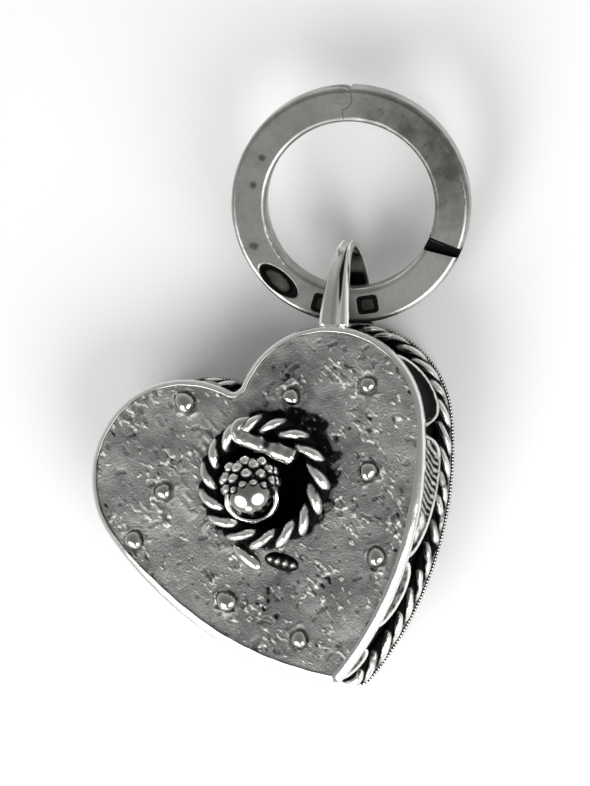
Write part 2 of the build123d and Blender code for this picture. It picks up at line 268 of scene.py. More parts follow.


# Sterling silver, oxidised and rubbed back: black in the hollows, bright on the high places. The wear
# attribute says how far a place was rubbed, with painted highlight and shade on the bar and the bail's rear
# foot; noise breaks up its edge, short flecks lying one way are the marks of the hammer or the buff, and a
# look with evenWear is rubbed alike all over.
def agedSilver(name, look):
    material = bpy.data.materials.new(name)
    material.use_nodes = True
    tree = material.node_tree
    tree.nodes.clear()
    place = addNode(tree, "TexCoord").outputs["Object"]
    cloud = addNode(tree, "TexNoise", values={
        "Scale": 1 / (look["cloudSize"] * mm), "Detail": 4.0, "Roughness": 0.6}, links={"Vector": place})
    grain = addNode(tree, "TexNoise", values={
        "Scale": 1 / (look["grainSize"] * mm), "Detail": 3.0, "Roughness": 0.65}, links={"Vector": place})
    laid = addNode(tree, "Mapping", {"vector_type": "TEXTURE"}, {
        "Rotation": (0, 0, math.radians(look["fleckTurn"])), "Scale": (look["fleckStretch"], 1, 1)},
        {"Vector": place})
    region = addNode(tree, "TexNoise", values={
        "Scale": 1 / (look["fleckRegion"] * mm), "Detail": 2.0}, links={"Vector": place})
    least = addNode(tree, "MapRange", values={
        "From Min": 0.35, "From Max": 0.65, "To Min": look["fleckFrom"] + look["fleckSpread"],
        "To Max": look["fleckFrom"] - look["fleckSpread"]}, links={"Value": region})
    heights, spots = [], []
    for seed, rarer in ((0.0, 0.0), (5.0, look["pitRarer"])):  # bright flecks, then dark pits
        noise = addNode(tree, "TexNoise", {"noise_dimensions": "4D"}, {
            "Scale": 1 / (look["fleckSize"] * mm), "Detail": look["fleckDetail"], "Roughness": 0.5,
            "W": seed}, {"Vector": laid})
        above = addNode(tree, "Math", {"operation": "SUBTRACT"}, links={0: noise, 1: least})
        spot = addNode(tree, "MapRange", {"interpolation_type": "SMOOTHSTEP"}, {
            "From Min": rarer, "From Max": rarer + look["fleckEdge"]}, {"Value": above})
        heights.append(above)
        spots.append(spot)
    fleck, pit = spots
    rubbed = addNode(tree, "Math", {"operation": "MULTIPLY_ADD"}, {
        1: look["patchiness"], 2: look.get("evenWear", 0.0) - 0.5 * look["patchiness"]}, {0: cloud})
    if "evenWear" not in look:
        wear = addNode(tree, "Attribute", {"attribute_name": "wear"})
        rubbed = addNode(tree, "Math", {"operation": "ADD"}, links={0: wear.outputs["Fac"], 1: rubbed})
    pitted = addNode(tree, "Math", {"operation": "MULTIPLY_ADD"}, {1: -look["pitDark"]}, {
        0: pit, 2: rubbed})
    rubbed = addNode(tree, "Math", {"operation": "MULTIPLY_ADD"}, {1: look["fleckBright"]}, {
        0: fleck, 2: pitted})
    hill = addNode(tree, "Math", {"operation": "MAXIMUM"}, {1: 0.0}, {0: heights[0]})
    grained = addNode(tree, "Bump", values={
        "Strength": 1.0, "Distance": look["grainDepth"] * mm}, links={"Height": grain})
    relief = addNode(tree, "Bump", values={"Strength": 1.0, "Distance": look["fleckDepth"] * mm}, links={
        "Height": hill, "Normal": grained})
    for mark in look.get("marks", []):
        rubbed, relief = addMark(tree, place, mark, rubbed, relief)
    tone = addNode(tree, "ValToRGB", links={"Fac": rubbed})
    ramp = tone.color_ramp.elements
    ramp[0].position, ramp[0].color = look["blackTo"], hexColor(look["black"])
    ramp[1].position, ramp[1].color = look["brightFrom"], hexColor(look["bright"])
    ramp.new(max(look["blackTo"] - look["sootFade"], 0.0)).color = hexColor(look["soot"])
    gloss = addNode(tree, "MapRange", values={
        "From Min": look["blackTo"], "From Max": look["brightFrom"],
        "To Min": look["blackRoughness"], "To Max": look["brightRoughness"]}, links={"Value": rubbed})
    grainyGloss = addNode(tree, "Math", {"operation": "MULTIPLY_ADD"}, {1: look["grainGloss"]}, {
        0: grain, 2: gloss})
    metal = addNode(tree, "MapRange", values={
        "From Min": look["sootTo"], "From Max": look["sootTo"] + look["sootFade"]}, links={"Value": rubbed})
    shader = addNode(tree, "BsdfPrincipled", values={"Specular IOR Level": 0.1}, links={
        "Base Color": tone, "Metallic": metal, "Roughness": grainyGloss, "Normal": relief})
    addNode(tree, "OutputMaterial", links={"Surface": shader})
    return material


# Sizes and depths in millimetres, turns in degrees; wear runs from black at blackTo to bright at brightFrom
polishedLook = {
    "black": "#4A4A48", "soot": "#080808", "bright": "#F0EFEB", "blackTo": 0.2, "brightFrom": 0.75,
    "sootTo": -0.2, "sootFade": 0.2, "blackRoughness": 0.34, "brightRoughness": 0.1,
    "patchiness": 0.25, "cloudSize": 1.6, "grainSize": 0.22, "grainDepth": 0.003, "grainGloss": 0.06,
    "fleckSize": 0.07, "fleckTurn": 30.0, "fleckStretch": 9.0, "fleckFrom": 0.66, "fleckSpread": 0.05,
    "fleckRegion": 3.0, "fleckEdge": 0.1, "fleckDetail": 2.0, "fleckBright": -0.15, "fleckDepth": 0.005,
    "pitDark": 0.05, "pitRarer": 0.03,
}
hammeredLook = dict(
    polishedLook, black="#161616", bright="#C4C4C1", blackTo=0.0, brightFrom=1.0, blackRoughness=0.5,
    brightRoughness=0.32, patchiness=0.4, cloudSize=0.7, grainSize=0.13, grainDepth=0.055, grainGloss=0.2,
    fleckSize=0.27, fleckTurn=-68.0, fleckStretch=1.8, fleckFrom=0.605, fleckSpread=0.12, fleckRegion=1.9,
    fleckEdge=0.16, fleckDetail=0.7, fleckBright=0.6, fleckDepth=0.42, pitDark=0.35, pitRarer=0.04)
granuleLook = dict(polishedLook, black="#3C3C3A", patchiness=0.12, blackRoughness=0.13, brightRoughness=0.07)
reliefLook = dict(
    polishedLook, black="#070707", bright="#EFEEEA", blackTo=0.34, brightFrom=0.68, patchiness=0.55,
    cloudSize=0.35, grainDepth=0.016, blackRoughness=0.75, brightRoughness=0.16, sootTo=0.3)
blackenedLook = dict(
    polishedLook, black="#050505", bright="#161616", blackTo=0.2, brightFrom=1.2, patchiness=0.6,
    evenWear=0.4, grainDepth=0.01, blackRoughness=0.75, brightRoughness=0.6, sootTo=0.9)
backLook = dict(
    polishedLook, evenWear=0.55, patchiness=0.5, cloudSize=2.2, fleckSize=0.09, fleckStretch=25.0,
    fleckFrom=0.56, fleckDepth=0.002, brightRoughness=0.22)
punchAndShade = {"squareness": 5.0, "outer": 1.15, "full": 0.85, "floorFrom": 0.3, "level": 0.9, "levelReach": 0.25,
         "darkening": 0.75, "paleFloor": 0.4, "sink": 0.05, "onWall": False}
stainAndReflection = dict(punchAndShade, squareness=2.0, turn=0.0, full=0.0, darkening=0.22, paleFloor=0.0, sink=0.0)
# Ring marks: real punches and stain spots, and painted light: a dark and a pale reflection on the face and
# shade in the slit
ringMarks = [
    dict(stainAndReflection, at=38.0, reach=5.5, length=11.0, width=8.0, turn=-52.0, darkening=0.18),  # painted dark reflection over one side of the face
    dict(stainAndReflection, at=-50.0, reach=5.8, length=5.5, width=3.6, turn=40.0, darkening=-0.3),  # painted pale reflection over the other side of the face
    dict(stainAndReflection, at=154.0, reach=5.9, length=0.55, width=0.5),  # spots
    dict(stainAndReflection, at=171.0, reach=5.85, length=0.5, width=0.6),
    dict(stainAndReflection, at=206.0, reach=6.2, length=0.7, width=0.6),
    dict(stainAndReflection, at=97.0, reach=ring["outside"], level=0.0, length=1.5, width=0.5, onWall=True,
         full=0.7),  # on the outer wall
    dict(punchAndShade, at=229.3, reach=6.2, turn=-37.0, length=2.8, width=1.2, squareness=2.0,
         darkening=0.55, paleFloor=0.3, floorFrom=0.85),  # bare oval
    dict(punchAndShade, at=256.9, reach=6.1, turn=-13.0, length=1.25, width=1.15),  # bare squares
    dict(punchAndShade, at=282.4, reach=5.95, turn=12.0, length=1.25, width=1.1),
    dict(punchAndShade, at=ring["slitTurn"] - 2.5, reach=6.0, turn=ring["slitTurn"], length=2.6, width=1.0,
         squareness=8.0, level=-0.3, levelReach=1.08, darkening=1.5, paleFloor=0.0, sink=0.0),  # painted shade in the slit
]
ringLook = dict(
    polishedLook, black="#5C5B56", bright="#EAE9E5", soot="#070707", evenWear=0.445, patchiness=0.4,
    cloudSize=1.3, grainSize=0.16, grainGloss=0.12, fleckBright=-0.2, blackTo=0.22, brightFrom=0.85,
    brightRoughness=0.13, marks=ringMarks)
polished = agedSilver("polished_sterling", polishedLook)
ringMetal = agedSilver("handled_sterling", ringLook)
hammered = agedSilver("hammered_sterling", hammeredLook)
burnished = agedSilver("burnished_sterling", granuleLook)
relieved = agedSilver("relief_sterling", reliefLook)
blackened = agedSilver("blackened_sterling", blackenedLook)
sanded = agedSilver("sanded_sterling", backLook)
print("materials made")

# Heart outline, the solids' own arcs: notch, lobe, flank and rounded tip of the right half
notchRise = math.sqrt((heart["lobeRadius"] + heart["notchRadius"]) ** 2 - heart["lobeOffset"] ** 2)
lobeStart = math.pi - math.atan2(notchRise, heart["lobeOffset"])
flankReach = heart["flankRadius"] - heart["lobeRadius"]
tipReach = math.hypot(heart["lobeOffset"], heart["tipDrop"])
tipCosine = (tipReach**2 + flankReach**2 - heart["flankRadius"] ** 2) / (2 * flankReach * tipReach)
flankStart = math.atan2(heart["tipDrop"], heart["lobeOffset"]) - math.acos(tipCosine)
flankCentre = lobeCentre - flankReach * np.array([math.cos(flankStart), math.sin(flankStart)])
tipInside = heart["flankRadius"] - heart["tipRadius"]
tipY = flankCentre[1] - math.sqrt(tipInside**2 - flankCentre[0] ** 2)
tipStart = math.atan2(tipY - flankCentre[1], -flankCentre[0])
arcCentre = np.array([[0, heart["lobeLine"] + notchRise], lobeCentre, flankCentre, [0, tipY]])
arcRadius = np.array([heart["notchRadius"], heart["lobeRadius"], heart["flankRadius"], heart["tipRadius"]])
arcStart = np.array([-math.pi / 2, lobeStart, flankStart, tipStart])
arcSweep = np.array([lobeStart - math.pi / 2, flankStart - lobeStart, tipStart - flankStart,
                     -math.pi / 2 - tipStart])
arcLength = arcRadius * np.abs(arcSweep)
arcBegin = np.concatenate([[0], np.cumsum(arcLength)[:-1]])
halfLength = arcLength.sum()


# Points and outward normals at a distance from the notch down one side: the arc is looked up, then its angle
def heartHalf(distance, side):
    arc = np.clip(np.searchsorted(arcBegin, distance, side="right") - 1, 0, len(arcBegin) - 1)
    turn = arcStart[arc] + np.sign(arcSweep[arc]) * (distance - arcBegin[arc]) / arcRadius[arc]
    way = np.stack([np.cos(turn), np.sin(turn)], -1)
    point = arcCentre[arc] + arcRadius[arc][..., None] * way
    normal = way * np.where(arc == 0, -1.0, 1.0)[..., None]
    mirrored = np.stack([np.broadcast_to(side, distance.shape), np.ones(distance.shape)], -1)
    return point * mirrored, normal * mirrored


# The whole outline, 0 to 1 from the notch down the right side and up the left
def heartLine(t):
    t = np.mod(t, 1.0)
    return heartHalf(2 * halfLength * np.minimum(t, 1 - t), np.where(t < 0.5, 1.0, -1.0))


# A profile carried round the outline: each point less the inset along its outward normal, at the level
def carryRound(t, insets, levels):
    point, normal = heartLine(t)
    flat = point[:, None] - np.asarray(insets)[..., None] * normal[:, None]
    return atLevel(flat, levels)


# Front bezel: a strip filed to a bevel, wider down the flanks, a little uneven. Its drop from the inner edge
# is the width times a share of the way out plus a share of that squared.
bezel = {"width": 0.3, "widerBelow": 0.24, "widerBand": (1.0, -5.0), "waver": 0.016, "seed": 1,
         "inner": 5.97, "bottom": 5.3, "slope": 0.21, "curve": 0.26, "arris": 0.04, "places": 900,
         "across": 11}
t = np.linspace(0, 1, bezel["places"], endpoint=False)
wider = smoothStep(*bezel["widerBand"], heartLine(t)[0][:, 1])
width = bezel["width"] + bezel["widerBelow"] * wider
width = (width + bezel["waver"] * handWaver(t, bezel["seed"]))[:, None]
out = np.linspace(0, 1, bezel["across"])[None]
topInset = width * (1 - out)
topLevel = bezel["inner"] - width * (bezel["slope"] * out + bezel["curve"] * out**2)
arris = bezel["arris"]
none = 0 * width
rim = topLevel[:, -1:].copy()
bottom = none + bezel["bottom"]
edgeInset = [none + arris / 2, none, none, none + arris, width - arris / 2, width, width]
edgeLevel = [rim - arris / 4, rim - 0.75 * arris, bottom + 0.75 * arris, bottom, bottom, bottom + arris / 2,
             none + bezel["inner"] - arris / 2]
topInset[:, -1] += arris
topLevel[:, -1] += arris / 4
strip = carryRound(t, np.concatenate([topInset, *edgeInset], 1), np.concatenate([topLevel, *edgeLevel], 1))
addPiece("frontBezel", [closedBand(strip, 1.0)], "heart", polished, ["front_bezel"])
print("bezel made")

# Front plate: cast and hammered sheet from the well's mouth out to the bezel
plate = {
    "inset": 0.32, "top": 5.85, "bottom": 5.3, "hole": 3.17, "places": 880, "rings": 108, "edgeEase": 0.02,
    "seed": 5, "swell": 0.03, "swellSize": 2.3, "dimple": 0.03, "dimpleSize": 0.7,
    "ridge": 0.008, "ridgeSize": 0.26, "ridgeStretch": 2.4, "ridgeTurn": -68.0,
    "spatter": 0.14, "spatterSize": 0.3, "spatterStretch": 1.7, "drops": (0.15, 0.75),
    "spatterReach": 4.4, "spatterBand": 0.75, "spatterTurn": 160.0, "spatterSpread": 65.0,
    "wear": 0.45, "heightWear": 2.2, "patchWear": 0.13, "patchSize": 1.9, "patchSeed": 22,
    "sootWear": 0.75, "sootReach": 4.2, "sootMore": 1.0, "sootTurn": 27.0, "sootSpread": 38.0,
    "sootEdge": 0.55, "sootRagged": 0.35, "raggedSize": 0.5, "raggedSeed": 21,
}
granule = {
    "radius": 0.56, "squash": 0.72, "rise": 0.04, "lump": 0.05, "wear": 0.5, "wearBand": (5.75, 6.1),
    "crater": 0.68, "craterFloor": 0.54, "craterDepth": 0.05, "craterRagged": 0.3, "raggedSize": 0.45,
    "lip": 0.07, "lipOut": 0.08, "lipWidth": 0.12, "lipLeast": 0.3, "lipLumps": 2.2, "lipMost": 2.0,
    "lumpSize": 0.4,
    "places": np.array([  # x, y and size
        (-3.2, 6.1, 1.12), (3.1, 4.2, 0.9), (7.8, 3.3, 0.85), (6.1, -1.5, 1.0), (4.9, -6.4, 1.0),
        (-1.2, -9.4, 0.92), (-4.7, -5.8, 1.12), (-8.9, -0.5, 1.0), (-6.2, 1.6, 0.88)]),
}


# How far a place lies to a heading's side of the well: a bell of the angle between them
def onSide(x, y, degrees, spread):
    between = np.mod(np.degrees(np.arctan2(y, x)) - degrees + 180, 360) - 180
    return bell(between, spread)


# Height of the sheet: the sum of swells, dimples, ridges one way, spatters by the well and granules' craters
def plateHeight(x, y):
    way = heading(plate["ridgeTurn"])
    along, across = way[0] * x + way[1] * y, way[0] * y - way[1] * x
    seed = plate["seed"]
    swell = plate["swell"] * latticeNoise(x, y, plate["swellSize"], seed)
    dimple = plate["dimple"] * latticeNoise(x, y, plate["dimpleSize"], seed + 1)
    ridge = latticeNoise(along / plate["ridgeStretch"], across, plate["ridgeSize"], seed + 2)
    away = np.hypot(x[..., None] - granule["places"][:, 0], y[..., None] - granule["places"][:, 1]).min(-1)
    ragged = latticeNoise(x, y, granule["raggedSize"], seed + 3)
    edge = granule["crater"] * (1 + granule["craterRagged"] * ragged)
    crater = -granule["craterDepth"] * smoothStep(edge, granule["craterFloor"], away)
    lip = granule["lip"] * bell(away - edge - granule["lipOut"], granule["lipWidth"])
    lumps = granule["lipLeast"] + granule["lipLumps"] * latticeNoise(x, y, granule["lumpSize"], seed + 4)
    lip = lip * np.clip(lumps, 0, granule["lipMost"])
    beside = onSide(x, y, plate["spatterTurn"], plate["spatterSpread"])
    beside = beside * bell(np.hypot(x, y) - plate["spatterReach"], plate["spatterBand"])
    drops = latticeNoise(along / plate["spatterStretch"], across, plate["spatterSize"], seed + 5)
    spatter = plate["spatter"] * beside * smoothStep(*plate["drops"], drops)
    return swell + dimple + plate["ridge"] * ridge + crater + lip + spatter


t = np.linspace(0, 1, plate["places"], endpoint=False)
outer, outerNormal = heartLine(t)
outer = outer - plate["inset"] * outerNormal
inner = plate["hole"] * unit(outer)
out = np.linspace(0, 1, plate["rings"])[None, :, None]
flat = inner[:, None] * (1 - out) + outer[:, None] * out
x, y = flat[..., 0], flat[..., 1]
height = plateHeight(x, y) * smoothStep(0, plate["edgeEase"], np.minimum(out, 1 - out))[..., 0]
top = atLevel(flat, plate["top"] + height)
under = atLevel(np.stack([outer, inner], 1), plate["bottom"])
sootEdge = plate["sootReach"] + plate["sootMore"] * onSide(x, y, plate["sootTurn"], plate["sootSpread"])
ragged = latticeNoise(x, y, plate["raggedSize"], plate["raggedSeed"])
soot = smoothStep(sootEdge, sootEdge - plate["sootEdge"], np.hypot(x, y) + plate["sootRagged"] * ragged)
patches = plate["patchWear"] * latticeNoise(x, y, plate["patchSize"], plate["patchSeed"])
plateWear = np.clip(plate["wear"] + plate["heightWear"] * height + patches - plate["sootWear"] * soot, 0, 1)
plateWear = np.concatenate([plateWear, np.zeros(under.shape[:2])], 1)
addPiece("frontPlate", [closedBand(np.concatenate([top, under], 1), plateWear)], "heart", hammered,
         ["front_plate"])
print("front plate made")

granules = []
for number, (x, y, size) in enumerate(granule["places"]):
    centre = np.array([x, y, plate["top"] + granule["rise"]])
    ball = lumpyBall(centre, size * granule["radius"], granule["lump"], number, squash=granule["squash"])
    wear = granule["wear"] * smoothStep(*granule["wearBand"], ball[..., 2])
    granules.append(cappedRod(ball, wear))
addPiece("frontGranules", granules, "heart", burnished, ["front_granules"])
print("granules made")

# Twisted wires round the heart's foot and the well's mouth, and what their strands share
border = {"inset": 0.32, "level": 0.84, "strands": 3, "strokes": 45, "laps": 1, "orbit": 0.27, "wire": 0.24,
          "core": 0.22, "samples": 14, "around": 14, "hand": -1, "rubbedSide": 30.0, "shown": (-0.5, 0.7),
          "uneven": 0.45, "swell": 0.0, "swellAt": 0.0}
wellRope = {"ring": 3.42, "level": 6.47, "strands": 2, "strokes": 15, "laps": 2, "orbit": 0.31, "wire": 0.29,
            "core": 0.2, "samples": 24, "around": 18, "hand": 1, "rubbedSide": 90.0, "shown": (-0.55, 0.55),
            "uneven": 0.2, "swell": 0.4, "swellAt": -0.078}
strand = {"waver": 0.1, "waverSeed": 3, "swellReach": 0.03, "sideWear": 0.4, "crestWear": 0.6,
          "usualWear": 0.85, "leastWear": 0.3, "wearSeed": 11, "coreSides": 8}


# Strands wound round a line: each one's middle circles it at the orbit as the twist turns, and its girth
# wavers and swells at one place. Its crest is rubbed bright on the rubbed side and its groove stays black.
def twistedWire(line, outward, rope):
    patches = []
    lapped, away = np.tile(line, (rope["laps"], 1)), np.tile(outward, (rope["laps"], 1))
    lap = np.arange(len(lapped)) / len(line)
    swollen = bell(np.mod(lap - rope["swellAt"] + 0.5, 1) - 0.5, strand["swellReach"])
    crestward = np.sin(turnsRound(rope["around"]))
    rubbedSide = math.radians(rope["rubbedSide"])
    for number in range(rope["strands"] // rope["laps"]):  # a strand may need two laps to meet itself
        twist = fullTurn * (rope["hand"] * rope["strokes"] / rope["strands"] * lap + number / rope["strands"])
        crest = np.cos(twist)[:, None] * away + np.sin(twist)[:, None] * upright
        waver = strand["waver"] * handWaver(lap / rope["laps"], number + strand["waverSeed"])
        girth = rope["wire"] * (1 + waver + rope["swell"] * swollen)[:, None]
        tube = tubeRound(lapped + rope["orbit"] * crest, crest, girth, rope["around"])
        shown = np.cos(rubbedSide) * np.cos(twist) + np.sin(rubbedSide) * np.sin(twist)
        shown = smoothStep(*rope["shown"], shown)
        hand = handWaver(lap / rope["laps"], number + strand["wearSeed"])
        shown = shown * np.clip(strand["usualWear"] + rope["uneven"] * hand, strand["leastWear"], 1)
        wear = (strand["sideWear"] + strand["crestWear"] * crestward)[None] * shown[:, None]
        patches.append(closedBand(tube, wear))
    core = tubeRound(line, outward, np.full((1, 1), rope["core"]), strand["coreSides"])
    patches.append(closedBand(core, 0.0))
    return patches


t = np.arange(border["strokes"] * border["samples"]) / (border["strokes"] * border["samples"])
point, normal = heartLine(t)
line = atLevel(point - border["inset"] * normal, border["level"])
addPiece("ropeBorder", twistedWire(line, atLevel(normal, 0.0), border), "heart", relieved,
         ["rope_border_left", "rope_border_right"])

turn = turnsRound(wellRope["strokes"] * wellRope["samples"])
outward = np.stack([np.cos(turn), np.sin(turn), 0 * turn], 1)
line = wellRope["ring"] * outward + wellRope["level"] * upright
addPiece("wellRope", twistedWire(line, outward, wellRope), "heart", relieved, ["well_rope"])
print("twisted wires made")

# Scalloped gallery: hollowed petals with a raised lip, one a side with slanted ribs and lumps. A petal's drop
# is a half circle stretched to its width, its lip a bell of the distance from its edge.
scallop = {
    "spans": [  # start, width, drop, deepest share, ribbed, wear of the hollow
        (1.3, 4.4, 2.9, 0.5, 0, 0.16), (11.6, 4.8, 3.5, 0.75, 0, 0.22), (17.0, 7.4, 3.3, 0.16, 1, 0.27),
        (24.5, 4.4, 2.1, 0.45, 0, 0.38), (30.3, 2.4, 1.8, 0.4, 0, 0.38)],
    "top": 5.3, "inset": 0.14, "sheet": 0.28, "across": 121, "down": 33, "fullWidth": 0.995,
    "lip": 0.09, "lipIn": 0.12, "lipWidth": 0.13, "edgeDrop": 0.05, "edgeRound": 0.06,
    "hollow": 0.22, "hollowBand": (0.15, 0.9), "ribPitch": 0.42, "ribDepth": 0.07, "ribSlant": 0.5,
    "ribBand": (0.25, 0.45), "ribStop": 0.7, "ribFade": 0.6,
    "lump": 0.26, "lumps": [(0.7, -1.5, 0.42), (0.8, -0.9, 0.36)],  # share of width, drop, reach
    "lipWear": 0.95, "lipWearIn": 0.1, "lipWearWidth": 0.14, "ribWear": 4.5, "lumpWear": 3.2,
}
s = np.linspace(-scallop["fullWidth"], scallop["fullWidth"], scallop["across"])[:, None]
down = np.linspace(0, 1, scallop["down"])[None]
petals = []
for side in (1, -1):
    for start, width, drop, deepest, ribbed, hollowWear in scallop["spans"]:
        before = deepest * width
        place = start + before + np.where(s < 0, s * before, s * (width - before)) + 0 * down
        z = -drop * np.sqrt(1 - s**2) * down
        fromMiddle = np.sqrt(s**2 + (z / drop) ** 2)
        edge = (1 - fromMiddle) * np.where(s < 0, 0.5 * (before + drop), 0.5 * (width - before + drop))
        lip = scallop["lip"] * bell(edge - scallop["lipIn"], scallop["lipWidth"])
        lip = lip - scallop["edgeDrop"] * smoothStep(scallop["edgeRound"], 0.0, edge)
        dish = -scallop["hollow"] * smoothStep(*scallop["hollowBand"], edge)
        wave = 0.5 + 0.5 * np.cos(fullTurn * (place + scallop["ribSlant"] * z) / scallop["ribPitch"])
        rib = ribbed * scallop["ribDepth"] * wave * smoothStep(*scallop["ribBand"], edge)
        rib = rib * smoothStep(start + scallop["ribStop"] * width, start + scallop["ribFade"] * width, place)
        lump = sum(hump(place, z, start + share * width, low, reach)
                   for share, low, reach in scallop["lumps"])
        lump = ribbed * scallop["lump"] * lump
        point, normal = heartHalf(place, side)
        flat = point + (lip + dish + rib + lump - scallop["inset"])[..., None] * normal
        wear = scallop["lipWear"] * bell(edge - scallop["lipWearIn"], scallop["lipWearWidth"]) + hollowWear
        wear = np.clip(wear + scallop["ribWear"] * rib + scallop["lumpWear"] * lump, 0, 1)
        petals.append({"points": atLevel(flat, scallop["top"] + z), "wear": wear,
                       "facing": atLevel(normal, 0.0)})
addPiece("scallopGallery", petals, "heart", relieved, ["scallop_gallery"], scallop["sheet"])
print("gallery made")

# Milgrain: a row of small beads on a thin wire round the back edge
milgrain = {"beads": 330, "radius": 0.11, "lump": 0.03, "rings": 3, "around": 7, "inset": -0.08,
            "level": 0.15, "wire": 0.09, "wirePlaces": 600, "wireSides": 8, "beadWear": 0.8, "wireWear": 0.2}
t = np.arange(milgrain["beads"]) / milgrain["beads"]
centres = carryRound(t, np.full((len(t), 1), milgrain["inset"]), milgrain["level"])[:, 0]
beads = []
for number, centre in enumerate(centres):
    ball = lumpyBall(centre, milgrain["radius"], milgrain["lump"], number, milgrain["rings"],
                     milgrain["around"])
    beads.append(cappedRod(ball, milgrain["beadWear"]))
t = np.linspace(0, 1, milgrain["wirePlaces"], endpoint=False)
turn = turnsRound(milgrain["wireSides"])[None]
wire = carryRound(t, milgrain["inset"] + milgrain["wire"] * np.cos(turn),
                  milgrain["level"] + milgrain["wire"] * np.sin(turn))
beads.append(closedBand(wire, milgrain["wireWear"]))
addPiece("milgrainEdge", beads, "heart", relieved, ["back_rim"])
print("milgrain made")

# Bud: a scaly cup and a polished nut about a leaning axis
bud = {
    "rim": (-0.99, -0.89, 6.7), "lean": 38.0, "heading": 277.0, "around": 72, "farShift": 26.0,
    "cupHeight": 2.6, "cupRim": 1.62, "cupRows": 24, "cupTop": 0.8, "neck": 0.32, "shoulder": 0.8,
    "shoulderFrom": -0.15, "shoulderHeight": 2.4, "drawnIn": 0.55, "drawnFrom": 1.1, "cupWear": 0.12,
    "lip": 0.29, "lipDip": 0.4, "dipBand": (-0.1, 0.7), "lipWear": 0.75, "dipWear": 0.4, "seat": 0.35,
    "scaleRows": 6, "scales": 13, "scaleSize": 0.36, "topScaleSize": 0.27, "scaleCrowding": 1.05,
    "scaleSink": 0.15, "topRow": 0.08, "rowStep": 0.4, "topRowFrom": 0.45, "scaleLump": 0.03, "scaleRings": 7,
    "scaleAround": 12, "scaleSeed": 31, "scaleWear": 0.66, "wearIn": 0.2, "wearOut": 0.25,
    "nutRise": 0.56, "nutGap": 0.02, "nutTop": 0.02, "nutRows": 26, "nutWear": 0.42,
}
lean = math.radians(bud["lean"])
budAxis = math.sin(lean) * heading(bud["heading"]) + math.cos(lean) * upright
budSide = heading(bud["heading"] + 90)
budBack = np.cross(budAxis, budSide)
budRim = np.array(bud["rim"])
farShift = math.radians(bud["farShift"])


# Turned form: from the rim's middle, the radius out at the turn's angle and the height along the bud's axis
def turnedBud(radius, height, turn):
    around = np.cos(turn)[..., None] * budSide + np.sin(turn)[..., None] * budBack
    return budRim + radius[..., None] * around + height[..., None] * budAxis


# Radius of the cup at a height: half a wave out and in on the far side only, drawn in toward the root
def cupRadius(height, angle):
    swell = bud["shoulder"] * smoothStep(bud["shoulderFrom"], 1.0, np.sin(angle + farShift))
    drawn = 1 - bud["drawnIn"] * smoothStep(-bud["drawnFrom"], -bud["cupHeight"], height)
    depth = np.clip(-height - bud["topRow"], 0, bud["shoulderHeight"])
    return (bud["cupRim"] - bud["neck"] + swell * np.sin(math.pi * depth / bud["shoulderHeight"])) * drawn


cupRim, seat = bud["cupRim"], bud["seat"]
nutSide = cupRim - bud["lip"]
turn = turnsRound(bud["around"])[None]
height = np.linspace(-bud["cupHeight"], -bud["cupTop"], bud["cupRows"])[:, None] + 0 * turn
farSide = smoothStep(*bud["dipBand"], np.sin(turn + farShift))  # the lip dips under the scales there
lipProfile = np.array([  # radius and height, up the outside, over the lip and down to the nut's seat
    (cupRim - 0.05, -0.36), (cupRim, -0.2), (cupRim - 0.01, -0.06), (cupRim - 0.05, 0.0),
    (nutSide + 0.02, -0.02), (nutSide, -0.1), (nutSide, -seat), (0.3, -seat)])
lipRadius, lipHeight = lipProfile[:, :1] + 0 * turn, lipProfile[:, 1:] - bud["lipDip"] * farSide
cupShape = np.concatenate([cupRadius(height, turn) - bud["scaleSink"], lipRadius])
cupLevel = np.concatenate([height, lipHeight])
lipWear = bud["lipWear"] - bud["dipWear"] * farSide + 0 * lipRadius
cupWear = np.concatenate([np.full(height.shape, bud["cupWear"]), lipWear])
cupPatches = [cappedRod(turnedBud(cupShape, cupLevel, turn + 0 * cupShape), cupWear)]
for row in range(bud["scaleRows"]):  # staggered rows of round scales
    rowHeight = -bud["topRow"] - bud["rowStep"] * row
    for number in range(bud["scales"]):
        angle = fullTurn * (number + 0.5 * (row % 2)) / bud["scales"]
        if row == 0 and math.sin(angle + farShift) < bud["topRowFrom"]:
            continue
        rowRadius = float(cupRadius(rowHeight, angle))
        scaleSize = bud["scaleSize"] if row else bud["topScaleSize"]
        scaleSize = min(scaleSize, bud["scaleCrowding"] * math.pi * rowRadius / bud["scales"])
        middle = turnedBud(np.array([rowRadius]), np.array([rowHeight]), np.array([angle]))[0]
        ball = lumpyBall(middle, scaleSize, bud["scaleLump"], bud["scaleSeed"] * row + number,
                         bud["scaleRings"], bud["scaleAround"])
        outDirection = math.cos(angle) * budSide + math.sin(angle) * budBack
        outFrom = (ball - budRim) @ outDirection
        wear = bud["scaleWear"] * smoothStep(rowRadius - bud["wearIn"], rowRadius + bud["wearOut"], outFrom)
        cupPatches.append(cappedRod(ball, wear))
addPiece("budCup", cupPatches, "heart", relieved, ["bud_cup"])

# Nut: a cap of a ball, whose radius and height follow the sine and cosine of the tilt from its top
nutEdge = nutSide - bud["nutGap"]
nutBall = (nutEdge**2 + bud["nutRise"] ** 2) / (2 * bud["nutRise"])
tilt = np.linspace(bud["nutTop"], 1, bud["nutRows"])[:, None] * math.asin(nutEdge / nutBall)
nutRadius = np.concatenate([nutBall * np.sin(tilt), [[nutEdge]]]) + 0 * turn
nutHeight = np.concatenate([bud["nutRise"] - nutBall * (1 - np.cos(tilt)), [[bud["nutGap"] - seat]]])
nut = turnedBud(nutRadius, nutHeight + 0 * turn, turn + 0 * nutRadius)
addPiece("budNut", [cappedRod(nut, bud["nutWear"])], "heart", burnished, ["bud_nut"])
print("bud made")

